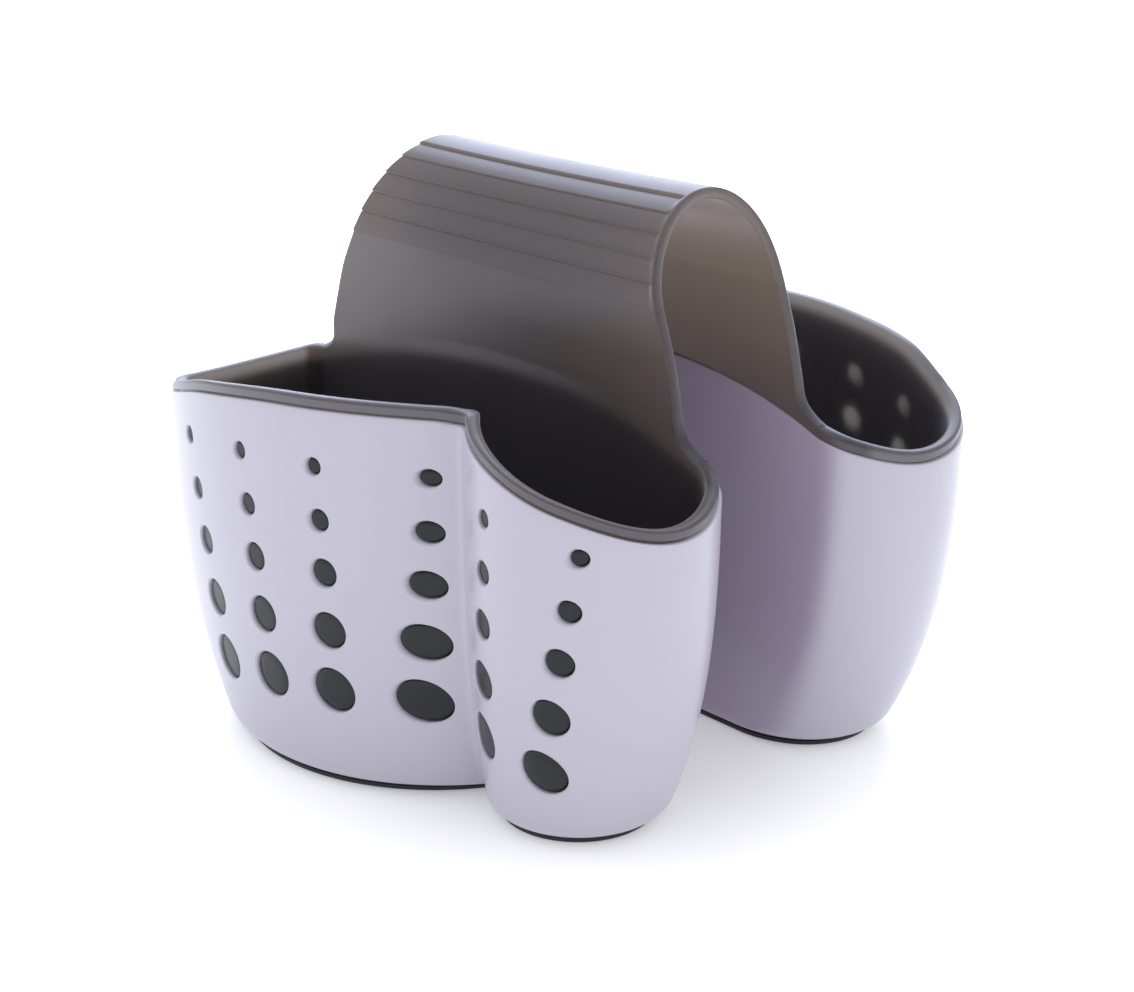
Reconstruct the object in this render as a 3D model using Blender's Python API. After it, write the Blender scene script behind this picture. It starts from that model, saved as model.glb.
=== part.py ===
# Two-pocket cutlery and sponge holder that hangs over a sink divider
# Metres, +Z up. X runs along the divider, Y across it, origin on the floor under the middle.
# Each pocket is drawn on the rear side (+Y) and the front one is mirrored to -Y. The front pocket's
# two lobes meet in a valley; the rear pocket's outer wall swells straight across from lobe to lobe.

import math

import bmesh
import bpy
import numpy as np
from mathutils import Vector

# Clearances
touch_gap = 0.0003
cut_overrun = 0.01

# Wall thicknesses
shell_wall = 0.0018
liner_wall = 0.0015
pad_thickness = 0.0016

# Plan outline of a pocket at the floor
divider_face_y = 0.0180
base_small_x = 0.0457
base_small_y = 0.0380
base_small_radius = 0.0205
base_big_x = -0.0209
base_big_y = 0.0244
base_big_radius = 0.0538
base_corner_x = -0.0685
base_left_x = -0.0673

# Plan outline of a pocket where its flare ends
top_small_x = 0.0541
top_small_y = 0.0412
top_small_radius = 0.0280
top_big_x = -0.0235
top_big_y = -0.0079
top_big_radius = 0.0918
top_corner_x = -0.0821
top_left_x = -0.0810

# How the walls lean outward from the floor to just under the highest rim
flare_end_share = 0.909
flare_power = 3.04

# Roundings in plan
corner_setback = 0.0018
valley_setback = 0.0028
inner_corner_setback = 0.0030
soft_edge_rise = 0.0030
soft_edge_share = 0.15
swell_turn_degrees = 5.0

# Rounding at the floor
base_radius = 0.0039
liner_floor_radius = 0.0015
divider_rounding_share = 0.25

# Rim heights of the front pocket along its outline, from the divider round the outside and back
rim_left_root = 0.0833
rim_corner = 0.0818
rim_big_start = 0.0880
rim_big_lobe = 0.0941
rim_big_middle = 0.0979
rim_valley = 0.0990
rim_small_start = 0.0956
rim_small_middle = 0.0868
rim_small_low = 0.0794
rim_right_root = 0.0858
rim_position_shares = (0.0, 1.0, 1.2, 1.4, 1.65, 1.96, 2.1, 2.4, 2.75, 3.12)

# Rim heights of the rear pocket where they differ
rear_rim_lobe = 0.0925
rear_rim_crest = 0.0960
rear_rim_shoulder = 0.0950
rear_rim_turn = 0.0930
rear_rim_fall = 0.0852
rear_rim_position_shares = (0.0, 1.0, 1.2, 1.45, 1.87, 2.06, 2.17, 2.34, 2.75, 3.12)
swell_start_share = 1.65
swell_end_share = 2.3

# Rolled lip of the soft moulding
lip_height = 0.0024
lip_inset = 0.0003
lip_edge_radius = 0.0005

# Arched top edge of the shell's divider wall, which rises above its foot under the lip
arch_crest_x = 0.0002
arch_rise = 0.0132
arch_right_power = 2.6
arch_left_power = 1.9

# Soft strap over the divider
strap_thickness = 0.0027
strap_right_root_x = 0.0602
strap_right_hinge_x = 0.0560
strap_right_shoulder_x = 0.0510
strap_right_top_x = 0.0463
strap_left_root_x = -0.0723
strap_left_hinge_x = -0.0668
strap_left_shoulder_x = -0.0596
strap_left_top_x = -0.0502
strap_root_flare = 0.0045
hinge_above_arch = 0.0112
shoulder_above_hinge = 0.0150
strap_above_hinge = 0.0357
crown_centre_above_hinge = 0.0105
rib_first_share = 0.18
rib_pitch_share = 0.156
rib_count = 6
rib_depth = 0.0005
rib_run = 0.0004

# Base pads
pad_inset = 0.0023
pad_divider_inset = 0.0010

# Holes in the outer wall, drilled along Y: columns from left to right, rows from top to bottom.
# The top hole of each column hangs under the rim height that is nearest to it.
hole_top_x = (-0.0422, -0.0191, 0.0044, 0.0314, 0.0517, 0.0737)
hole_bottom_x = (-0.0336, -0.0138, 0.0052, 0.0261, 0.0431, 0.0622)
hole_rim_heights = (rim_big_lobe, rim_big_lobe, rim_big_middle, rim_valley, rim_small_start,
                    rim_small_middle)
rear_hole_rim_heights = (rear_rim_lobe, rear_rim_lobe, rear_rim_crest, rear_rim_crest,
                         rear_rim_turn, rear_rim_fall)
hole_top_drop = (0.0147, 0.0128, 0.0157, 0.0159, 0.0157, 0.0115)
hole_bottom_height = (0.0240, 0.0262, 0.0271, 0.0279, 0.0253, 0.0222)
hole_row_shares = (1.0, 0.77, 0.54, 0.28, 0.0)
hole_diameters = (0.0040, 0.0052, 0.0065, 0.0083, 0.0101)
hole_column_width_shares = (1.0, 1.0, 1.0, 1.0, 1.0, 0.86)

# Soft plugs of the liner that stand in the holes
plug_recess = 0.0004

# Facet counts
left_wall_steps = 3
corner_steps = 2
big_lobe_steps = 12
valley_steps = 3
swell_big_lobe_steps = 8
swell_steps = 7
small_lobe_steps = 12
soft_edge_steps = 3
inner_corner_steps = 3
wall_row_shares = (0.0, 0.08, 0.19, 0.33, 0.5, 0.72, 1.0)
base_round_angles = (90.0, 62.0, 30.0)
leg_side_shares = (0.0, 0.06, 0.18, 0.45, 1.0)
leg_top_steps = 6
divider_wall_shares = (0.0, 0.015, 0.035, 0.065, 0.11, 0.24, 0.37, 0.5,
                       0.63, 0.76, 0.89, 0.935, 0.965, 0.985, 1.0)
cap_across_shares = (0.146, 0.5, 0.854)
cap_round_shares = (0.707, 1.0, 0.707)
hole_sides = 12
band_steps = 2
crown_leg_steps = 3
crown_arc_steps = 400

# Places that follow from the sizes above
liner_inset = shell_wall + touch_gap
cavity_inset = liner_inset + liner_wall
shell_floor = pad_thickness
liner_floor = shell_floor + shell_wall + touch_gap
flare_height = rim_valley * flare_end_share
left_foot_height = rim_left_root - lip_height - touch_gap
right_foot_height = rim_right_root - lip_height - touch_gap
arch_crest_height = left_foot_height + arch_rise
hinge_height = arch_crest_height + hinge_above_arch
hinge_y = divider_face_y + strap_thickness / 2
shoulder_height = hinge_height + shoulder_above_hinge
strap_top_height = hinge_height + strap_above_hinge
crown_centre_height = hinge_height + crown_centre_above_hinge
crown_half_width_y = divider_face_y + strap_thickness
crown_rise = strap_above_hinge - crown_centre_above_hinge
crown_end_height = hinge_height + strap_thickness / 2 + touch_gap


def clear_scene():
    for item in list(bpy.data.objects):
        bpy.data.objects.remove(item, do_unlink=True)


def make_material(name, colour, roughness, transmission=0.0):
    material = bpy.data.materials.new(name)
    material.use_nodes = True
    shader = material.node_tree.nodes["Principled BSDF"]
    shader.inputs["Base Color"].default_value = (*colour, 1.0)
    shader.inputs["Roughness"].default_value = roughness
    shader.inputs["Metallic"].default_value = 0.0
    shader.inputs["Transmission Weight"].default_value = transmission
    return material


def mix(start, end, share):
    return start + (end - start) * share


def flare_share(z):
    height = min(max(z / flare_height, 0.0), 1.0)
    return 1.0 - (1.0 - height) ** flare_power


def smooth_through(positions, values, at):
    # Monotone cubic curve through the given heights
    positions = np.asarray(positions, float)
    values = np.asarray(values, float)
    width = np.diff(positions)
    slope = np.diff(values) / width
    tangent = np.zeros(len(values))
    for index in range(1, len(values) - 1):
        before, after = slope[index - 1], slope[index]
        if before * after > 0:
            first = 2 * width[index] + width[index - 1]
            second = width[index] + 2 * width[index - 1]
            tangent[index] = (first + second) / (first / before + second / after)
    tangent[0], tangent[-1] = slope[0], slope[-1]
    index = int(np.clip(np.searchsorted(positions, at) - 1, 0, len(width) - 1))
    t = (at - positions[index]) / width[index]
    return (values[index] * (1 + 2 * t) * (1 - t) ** 2
            + tangent[index] * width[index] * t * (1 - t) ** 2
            + values[index + 1] * t * t * (3 - 2 * t)
            + tangent[index + 1] * width[index] * t * t * (t - 1))


def rim_height(travel, swelled):
    if swelled:
        heights = (rim_left_root, rim_corner, rim_big_start, rear_rim_lobe, rear_rim_crest,
                   rear_rim_shoulder, rear_rim_turn, rear_rim_fall, rim_small_low, rim_right_root)
        return smooth_through(rear_rim_position_shares, heights, travel)
    heights = (rim_left_root, rim_corner, rim_big_start, rim_big_lobe, rim_big_middle, rim_valley,
               rim_small_start, rim_small_middle, rim_small_low, rim_right_root)
    return smooth_through(rim_position_shares, heights, travel)


def bend(start, corner, end, steps):
    # Rounded corner: points between two ends, pulled to the corner
    shares = [step / steps for step in range(1, steps)]
    return [start * (1 - t) ** 2 + corner * 2 * t * (1 - t) + end * t * t for t in shares]


def arc(centre, radius, start, end, steps):
    angles = np.linspace(start, end, steps + 1)
    return [centre + radius * np.array((math.cos(a), math.sin(a))) for a in angles]


def angle_from(centre, point):
    return math.atan2(point[1] - centre[1], point[0] - centre[0])


def outer_meeting(first, first_radius, second, second_radius):
    # Meeting point of two circles on their outer side
    apart = second - first
    distance = np.linalg.norm(apart)
    along = (first_radius ** 2 - second_radius ** 2 + distance ** 2) / (2 * distance)
    across = math.sqrt(max(first_radius ** 2 - along ** 2, 0.0))
    direction = apart / distance
    return first + direction * along + np.array((-direction[1], direction[0])) * across


def tangent_meeting(first, first_radius, first_angle, second, second_radius, second_angle):
    # Meeting point of the tangents to two circles at the given angles
    ways = np.array([(math.cos(angle), math.sin(angle)) for angle in (first_angle, second_angle)])
    reaches = (ways[0] @ first + first_radius, ways[1] @ second + second_radius)
    return np.linalg.solve(ways, reaches)


def outline(z, inset, divider_inset, swelled):
    # Closed plan outline at height z, moved inward; it starts on the left wall at the divider
    share = flare_share(z)
    big = np.array((mix(base_big_x, top_big_x, share), mix(base_big_y, top_big_y, share)))
    big_radius = mix(base_big_radius, top_big_radius, share) - inset
    small = np.array((mix(base_small_x, top_small_x, share), mix(base_small_y, top_small_y, share)))
    small_radius = mix(base_small_radius, top_small_radius, share) - inset
    left_x = mix(base_left_x, top_left_x, share) + inset
    corner_x = mix(base_corner_x, top_corner_x, share) + inset
    wall_y = divider_face_y + divider_inset

    corner_y = big[1] + math.sqrt(max(big_radius ** 2 - (corner_x - big[0]) ** 2, 0.0))
    corner = np.array((corner_x, corner_y))
    inner_corner = np.array((left_x, wall_y))
    left_direction = (corner - inner_corner) / np.linalg.norm(corner - inner_corner)
    left_start = inner_corner + left_direction * inner_corner_setback
    left_end = corner - left_direction * corner_setback
    points = [mix(left_start, left_end, step / left_wall_steps) for step in range(left_wall_steps + 1)]

    big_start = angle_from(big, corner) - corner_setback / big_radius
    if swelled:
        lean = math.acos((big_radius - small_radius) / np.linalg.norm(small - big))
        big_end = angle_from(big, small) + lean + math.radians(swell_turn_degrees)
        small_start = angle_from(big, small) + lean - math.radians(swell_turn_degrees)
        between = tangent_meeting(big, big_radius, big_end, small, small_radius, small_start)
        big_steps, between_steps = swell_big_lobe_steps, swell_steps
    else:
        between = outer_meeting(big, big_radius, small, small_radius)
        big_end = angle_from(big, between) + valley_setback / big_radius
        small_start = angle_from(small, between) - valley_setback / small_radius
        big_steps, between_steps = big_lobe_steps, valley_steps
    big_lobe = arc(big, big_radius, big_start, big_end, big_steps)
    points += bend(left_end, corner, big_lobe[0], corner_steps)
    points += big_lobe

    edge_rise = max(soft_edge_rise, small[1] - small_radius - wall_y + soft_edge_share * small_radius)
    edge_sine = (wall_y + edge_rise - small[1]) / small_radius
    small_end = math.asin(min(max(edge_sine, -1.0), 0.0))
    small_lobe = arc(small, small_radius, small_start, small_end, small_lobe_steps)
    points += bend(big_lobe[-1], between, small_lobe[0], between_steps)
    points += small_lobe

    heading = np.array((math.sin(small_end), -math.cos(small_end)))
    reach = (small_lobe[-1][1] - wall_y) / math.cos(small_end)
    soft_corner = small_lobe[-1] + heading * reach
    wall_start = np.array((soft_corner[0] - reach, wall_y))
    wall_end = np.array((left_x + inner_corner_setback, wall_y))
    points += bend(small_lobe[-1], soft_corner, wall_start, soft_edge_steps)
    points += [mix(wall_start, wall_end, share) for share in divider_wall_shares]
    points += bend(wall_end, inner_corner, left_start, inner_corner_steps)
    return points


def column_travel(swelled):
    # Place of each column along the outline: left wall 0 to 1, lobes 1 to 2 and 2 to 3, then the root
    if swelled:
        big_end, small_start = swell_start_share, swell_end_share
        big_steps, between_steps = swell_big_lobe_steps, swell_steps
    else:
        big_end, small_start = 2.0, 2.0
        big_steps, between_steps = big_lobe_steps, valley_steps
    travel = [step / left_wall_steps for step in range(left_wall_steps + 1)]
    travel += [1.0] * (corner_steps - 1)
    travel += [mix(1.0, big_end, step / big_steps) for step in range(big_steps + 1)]
    travel += [mix(big_end, small_start, step / between_steps) for step in range(1, between_steps)]
    travel += [mix(small_start, 3.0, step / small_lobe_steps) for step in range(small_lobe_steps + 1)]
    root = rim_position_shares[-1]
    travel += [mix(3.0, root, step / soft_edge_steps) for step in range(1, soft_edge_steps)]
    return travel


outer_count = len(column_travel(False))
wall_count = len(divider_wall_shares)
column_count = outer_count + wall_count + inner_corner_steps - 1


def on_divider_wall(column):
    return outer_count <= column < outer_count + wall_count


def arch_height(x, right_x, left_x):
    # Height of the arched top edge of the divider wall at x
    if x > arch_crest_x:
        share = min((x - arch_crest_x) / (right_x - arch_crest_x), 1.0)
        return mix(arch_crest_height, right_foot_height, share ** arch_right_power)
    share = min((arch_crest_x - x) / (arch_crest_x - left_x), 1.0)
    return mix(arch_crest_height, left_foot_height, share ** arch_left_power)


def shell_tops(swelled):
    # Height of the shell's top edge at each column
    heights = [rim_height(travel, swelled) - lip_height - touch_gap for travel in column_travel(swelled)]
    top_points = outline(flare_height, 0.0, 0.0, swelled)
    right_x = top_points[outer_count][0]
    left_x = top_points[outer_count + wall_count - 1][0]
    heights += [arch_height(top_points[outer_count + index][0], right_x, left_x)
                for index in range(wall_count)]
    heights += [left_foot_height] * (inner_corner_steps - 1)
    return heights


def strap_edge_x(side, z):
    # Right (0) or left (1) edge of the strap, which narrows from its root to its top
    places = ((strap_right_root_x, strap_right_hinge_x, strap_right_shoulder_x, strap_right_top_x),
              (strap_left_root_x, strap_left_hinge_x, strap_left_shoulder_x, strap_left_top_x))
    root = (rim_right_root, rim_left_root)[side]
    return smooth_through((root, hinge_height, shoulder_height, strap_top_height), places[side], z)


def leg_contour(swelled):
    # Edge of the soft strap's lower leg, from its right root over the hinge to its left root
    top_points = outline(flare_height, 0.0, 0.0, swelled)
    root_x = (top_points[outer_count][0], top_points[outer_count + wall_count - 1][0])
    roots = (rim_right_root, rim_left_root)
    sides = []
    for side in range(2):
        spread = root_x[side] - strap_edge_x(side, roots[side])
        points = []
        for share in leg_side_shares:
            z = mix(roots[side], hinge_height, share)
            fade = max(1.0 - (z - roots[side]) / strap_root_flare, 0.0)
            points.append((strap_edge_x(side, z) + spread * fade ** 2, z))
        sides.append(points)
    top = [(mix(strap_right_hinge_x, strap_left_hinge_x, step / leg_top_steps), hinge_height)
           for step in range(1, leg_top_steps)]
    return sides[0] + top + sides[1][::-1]


def cup_rows(tops, floor, radius, inset, swelled):
    # Rows of one wall surface from the floor up to the given heights
    rows = []
    start = floor + radius
    for angle in base_round_angles:
        turn = math.radians(angle)
        drawn_in = radius * (1 - math.cos(turn))
        z = floor + radius * (1 - math.sin(turn))
        points = outline(z, inset + drawn_in, inset + drawn_in * divider_rounding_share, swelled)
        rows.append([(*point, z) for point in points])
    for share in wall_row_shares:
        row = []
        for column in range(column_count):
            z = mix(start, tops[column], share)
            row.append((*outline(z, inset, inset, swelled)[column], z))
        rows.append(row)
    return rows


def closed_cup(rows, outside_rows, mirrored, origin):
    # Mesh through closed rows of points, the first and last closed by a floor face.
    # Rows past outside_rows run back down, so their diagonals lean the other way to stay parallel.
    sign = -1.0 if mirrored else 1.0
    vertices = [(x - origin[0], sign * y - origin[1], z - origin[2]) for row in rows for x, y, z in row]
    count = len(rows[0])
    faces = []
    for row in range(len(rows) - 1):
        for column in range(count):
            low, low_next = row * count + column, row * count + (column + 1) % count
            high, high_next = low + count, low_next + count
            if row < outside_rows:
                faces += [(low, low_next, high_next), (low, high_next, high)]
            else:
                faces += [(low, low_next, high), (low_next, high_next, high)]
    faces.append(tuple(range(count))[::-1])
    last = (len(rows) - 1) * count
    faces.append(tuple(range(last, last + count)))
    # The outline runs clockwise from above, so the unmirrored faces are turned over
    if not mirrored:
        faces = [face[::-1] for face in faces]
    return vertices, faces


def add_object(name, vertices, faces, material, parent):
    mesh = bpy.data.meshes.new(name)
    mesh.from_pydata([tuple(map(float, vertex)) for vertex in vertices], [], faces)
    mesh.validate()
    mesh.materials.append(material)
    mesh.shade_smooth()
    mesh.set_sharp_from_angle(angle=math.radians(35))
    item = bpy.data.objects.new(name, mesh)
    bpy.context.scene.collection.objects.link(item)
    item.parent = parent
    return item


def shell_rows(swelled):
    tops = shell_tops(swelled)
    outside = cup_rows(tops, shell_floor, base_radius, 0.0, swelled)
    inside = cup_rows(tops, shell_floor + shell_wall, base_radius - shell_wall, shell_wall, swelled)
    return outside + inside[::-1], len(outside)


def leg_back(z):
    # Pocket side of the strap's leg, thinning from its root to the hinge
    share = (z - rim_left_root) / (hinge_height - rim_left_root)
    return divider_face_y + mix(cavity_inset, strap_thickness, min(max(share, 0.0), 1.0))


def liner_rows(swelled):
    # Soft moulding: cup, lip round the outer rim and the strap's leg on the divider side
    steps = [height + touch_gap for height in shell_tops(swelled)]
    outside = cup_rows(steps, liner_floor, base_radius - liner_inset, liner_inset, swelled)
    inside = cup_rows(steps, liner_floor + liner_wall, liner_floor_radius, cavity_inset, swelled)
    contour = leg_contour(swelled)
    outer_travel = column_travel(swelled)
    step_out, outer_edge, inner_edge = [], [], []
    caps = [[] for _ in cap_across_shares]
    for column in range(column_count):
        z = steps[column]
        step_out.append((*outline(z, lip_inset, 0.0, swelled)[column], z))
        if on_divider_wall(column):
            index = column - outer_count
            x, top = contour[index]
            side = min(index, wall_count - 1 - index)
            rounded = side >= len(leg_side_shares) - 1
            sideways = 0 < side < len(leg_side_shares) - 1
            reach = strap_thickness / 2 if rounded else lip_edge_radius
            outward = Vector((0.0, 0.0, 1.0))
            if sideways:
                outward = Vector((math.copysign(1.0, x), 0.0, 0.0))
            pulled = 0.0 if rounded else reach
            start = Vector((x, divider_face_y, top)) - outward * pulled
            end = Vector((x, leg_back(top), top)) - outward * pulled
        else:
            travel = outer_travel[column] if column < outer_count else 0.0
            top = rim_height(travel, swelled)
            rounded = False
            reach = lip_edge_radius
            outward = Vector((0.0, 0.0, 1.0))
            start = Vector((*outline(top, lip_inset, 0.0, swelled)[column], top - reach))
            end = Vector((*outline(top, cavity_inset, cavity_inset, swelled)[column], top - reach))
        outer_edge.append(tuple(start))
        inner_edge.append(tuple(end))
        for cap, across, rounding in zip(caps, cap_across_shares, cap_round_shares):
            rise = reach * (rounding if rounded else 1.0)
            cap.append(tuple(start.lerp(end, across) + outward * rise))
    return outside + [step_out, outer_edge] + caps + [inner_edge] + inside[::-1], len(outside)


def pad_rows(swelled):
    lower = [(*point, 0.0) for point in outline(0.0, pad_inset, pad_divider_inset, swelled)]
    upper = [(x, y, pad_thickness - touch_gap) for x, y, z in lower]
    return [lower, upper], 1


def outer_wall_y(x, z, inset, swelled):
    # Y of the pocket's outer wall at x and z, moved inward
    lobes = np.array(outline(z, inset, 0.0, swelled)[left_wall_steps:outer_count])
    facing_out = lobes[:np.argmax(lobes[:, 0]) + 1]
    return float(np.interp(x, facing_out[:, 0], facing_out[:, 1]))


def drill_ends(x, z, swelled):
    # A drill starts in the pocket and runs out past the wall
    return base_small_y, top_big_radius + cut_overrun


def plug_ends(x, z, swelled):
    # A plug starts inside the liner's wall and ends just below the shell's surface
    root = outer_wall_y(x, z, liner_inset + liner_wall / 2, swelled)
    return root, outer_wall_y(x, z, plug_recess, swelled)


def hole_bars(name, ends, clearance, mirrored, origin, parent):
    # One round bar along Y for each hole, between the two ends that its place gives
    sign = -1.0 if mirrored else 1.0
    swelled = not mirrored
    rim_heights = rear_hole_rim_heights if swelled else hole_rim_heights
    mesh_data = bmesh.new()
    for column in range(len(hole_top_x)):
        for share, diameter in zip(hole_row_shares, hole_diameters):
            x = mix(hole_bottom_x[column], hole_top_x[column], share)
            top_height = rim_heights[column] - hole_top_drop[column]
            z = mix(hole_bottom_height[column], top_height, share)
            half_width = diameter / 2 * hole_column_width_shares[column] - clearance
            half_height = diameter / 2 - clearance
            rings = ([], [])
            for side in range(hole_sides):
                turn = 2 * math.pi * side / hole_sides
                place_x = x + half_width * math.cos(turn)
                place_z = z + half_height * math.sin(turn)
                for ring, y in zip(rings, ends(place_x, place_z, swelled)):
                    ring.append(mesh_data.verts.new((place_x - origin[0], sign * y - origin[1],
                                                     place_z - origin[2])))
            for side in range(hole_sides):
                after = (side + 1) % hole_sides
                mesh_data.faces.new((rings[0][side], rings[0][after], rings[1][after], rings[1][side]))
            mesh_data.faces.new(rings[0][::-1])
            mesh_data.faces.new(rings[1])
    bmesh.ops.recalc_face_normals(mesh_data, faces=mesh_data.faces)
    mesh = bpy.data.meshes.new(name)
    mesh_data.to_mesh(mesh)
    mesh_data.free()
    bars = bpy.data.objects.new(name, mesh)
    bpy.context.scene.collection.objects.link(bars)
    bars.parent = parent
    bars.hide_render = True
    bars.display_type = "WIRE"
    return bars


def add_boolean(item, name, operation, other):
    modifier = item.modifiers.new(name, "BOOLEAN")
    modifier.operation = operation
    modifier.solver = "EXACT"
    modifier.object = other


def add_hinge_empty(name, y):
    empty = bpy.data.objects.new(name, None)
    empty.location = (0.0, y, hinge_height)
    empty.empty_display_size = strap_thickness
    bpy.context.scene.collection.objects.link(empty)
    return empty


def build_pocket(side, mirrored, materials):
    # One pocket: white shell, soft liner with its strap leg, and base pad
    sign = -1.0 if mirrored else 1.0
    swelled = not mirrored
    hinge = add_hinge_empty(side + "_pocket_hinge", sign * hinge_y)
    origin = (0.0, sign * hinge_y, hinge_height)
    shell = add_object(side + "_shell", *closed_cup(*shell_rows(swelled), mirrored, origin),
                       materials["shell"], hinge)
    drills = hole_bars(side + "_drills", drill_ends, 0.0, mirrored, origin, hinge)
    add_boolean(shell, "holes", "DIFFERENCE", drills)
    liner = add_object(side + "_liner", *closed_cup(*liner_rows(swelled), mirrored, origin),
                       materials["liner"], hinge)
    plugs = hole_bars(side + "_plugs", plug_ends, touch_gap, mirrored, origin, hinge)
    add_boolean(liner, "plugs", "UNION", plugs)
    pad = closed_cup(*pad_rows(swelled), mirrored, origin)
    add_object(side + "_base_pad", *pad, materials["pad"], hinge)


def crown_place(angle):
    # Middle of the strap's outer face at an angle from its top, with its outward direction
    y = crown_half_width_y * math.sin(angle)
    z = crown_centre_height + crown_rise * math.cos(angle)
    normal = Vector((0.0, math.sin(angle) / crown_half_width_y, math.cos(angle) / crown_rise)).normalized()
    return Vector((0.0, y, z)), normal


def crown_arc():
    # Angles from the top down one side of the crown and the distance travelled at each
    angles = np.linspace(0.0, math.pi / 2, crown_arc_steps + 1)
    y = crown_half_width_y * np.sin(angles)
    z = crown_rise * np.cos(angles)
    travelled = np.concatenate(([0.0], np.cumsum(np.hypot(np.diff(y), np.diff(z)))))
    return angles, travelled


def crown_stations():
    # Outer face of the strap from its top down to the hinge: place, outward way and sunk share.
    # Each band sits sunk at its upper edge and stands proud at its lower edge.
    angles, travelled = crown_arc()
    stations = [(*crown_place(0.0), 0.0)]
    previous = 0.0
    for rib in range(rib_count):
        edge = travelled[-1] * (rib_first_share + rib * rib_pitch_share)
        for step in range(1, band_steps + 1):
            share = step / band_steps
            angle = np.interp(mix(previous, edge, share), travelled, angles)
            stations.append((*crown_place(angle), 0.0 if rib == 0 else 1.0 - share))
        previous = edge + rib_run
        stations.append((*crown_place(np.interp(previous, travelled, angles)), 1.0))
    lowest = stations[-1][0].z
    for step in range(1, crown_leg_steps + 1):
        share = step / crown_leg_steps
        z = mix(lowest, crown_end_height, share)
        rise = min(max((z - crown_centre_height) / crown_rise, 0.0), 1.0)
        place, normal = crown_place(math.acos(rise))
        place.z = z
        stations.append((place, normal, 1.0 - share))
    return stations


def build_crown(material):
    # Ribbed strap between the two hinges, symmetric about the divider
    half = crown_stations()
    rings = []
    for sign in (1.0, -1.0):
        part = []
        for place, normal, sunk in half:
            outer = place - normal * rib_depth * sunk
            inner = place - normal * strap_thickness
            right_x, left_x = (strap_edge_x(side, place.z) for side in range(2))
            ring = [(left_x, sign * outer.y, outer.z),
                    (right_x, sign * outer.y, outer.z),
                    (right_x, sign * inner.y, inner.z),
                    (left_x, sign * inner.y, inner.z)]
            part.append(ring)
        rings.append(part)
    ordered = rings[0][::-1] + rings[1][1:]
    vertices = [point for ring in ordered for point in ring]
    faces = []
    corners = len(ordered[0])
    for index in range(len(ordered) - 1):
        for corner in range(corners):
            after = (corner + 1) % corners
            faces.append((index * corners + corner, index * corners + after,
                          (index + 1) * corners + after, (index + 1) * corners + corner))
    faces.append(tuple(range(corners))[::-1])
    last = (len(ordered) - 1) * corners
    faces.append(tuple(range(last, last + corners)))
    crown = add_object("saddle_strap", vertices, faces, material, None)
    mesh_data = bmesh.new()
    mesh_data.from_mesh(crown.data)
    bmesh.ops.recalc_face_normals(mesh_data, faces=mesh_data.faces)
    mesh_data.to_mesh(crown.data)
    mesh_data.free()


def main():
    clear_scene()
    materials = {
        "shell": make_material("white_plastic", (0.79, 0.79, 0.87), 0.28),
        "liner": make_material("grey_silicone", (0.25, 0.235, 0.23), 0.42, 0.25),
        "pad": make_material("dark_rubber", (0.035, 0.035, 0.045), 0.6),
    }
    build_pocket("front", True, materials)
    build_pocket("rear", False, materials)
    build_crown(materials["liner"])


main()
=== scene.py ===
import math

import bmesh
import bpy
import numpy as np
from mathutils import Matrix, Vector


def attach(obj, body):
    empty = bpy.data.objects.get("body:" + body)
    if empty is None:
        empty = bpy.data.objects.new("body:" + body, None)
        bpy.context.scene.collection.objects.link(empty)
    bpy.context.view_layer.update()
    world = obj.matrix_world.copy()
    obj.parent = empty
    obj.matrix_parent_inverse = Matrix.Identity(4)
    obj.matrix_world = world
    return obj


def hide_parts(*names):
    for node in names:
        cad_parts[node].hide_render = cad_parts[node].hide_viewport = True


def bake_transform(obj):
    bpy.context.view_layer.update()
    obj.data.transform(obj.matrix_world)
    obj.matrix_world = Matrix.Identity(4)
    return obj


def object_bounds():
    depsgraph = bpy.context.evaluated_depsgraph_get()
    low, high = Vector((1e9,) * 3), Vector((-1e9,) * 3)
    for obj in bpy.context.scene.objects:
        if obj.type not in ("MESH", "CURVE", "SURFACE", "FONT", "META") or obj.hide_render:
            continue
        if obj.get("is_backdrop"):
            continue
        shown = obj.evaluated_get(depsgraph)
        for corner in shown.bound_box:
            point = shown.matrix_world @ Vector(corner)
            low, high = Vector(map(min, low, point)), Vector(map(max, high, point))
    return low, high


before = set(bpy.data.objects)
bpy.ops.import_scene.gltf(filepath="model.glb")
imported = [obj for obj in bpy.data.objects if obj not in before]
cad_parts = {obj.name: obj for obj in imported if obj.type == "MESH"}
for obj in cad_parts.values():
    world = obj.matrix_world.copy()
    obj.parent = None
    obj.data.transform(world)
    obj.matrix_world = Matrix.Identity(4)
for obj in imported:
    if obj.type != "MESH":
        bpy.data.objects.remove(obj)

# Sink saddle holder dressed for its picture. Metres and Z up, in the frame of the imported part:
# X runs along the sink divider, Y across it. Pockets are drawn at +Y, the front one is mirrored to -Y.
# The front pocket's lobes meet in a valley, the rear pocket's wall swells straight across.

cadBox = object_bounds()


# Pocket walls

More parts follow.
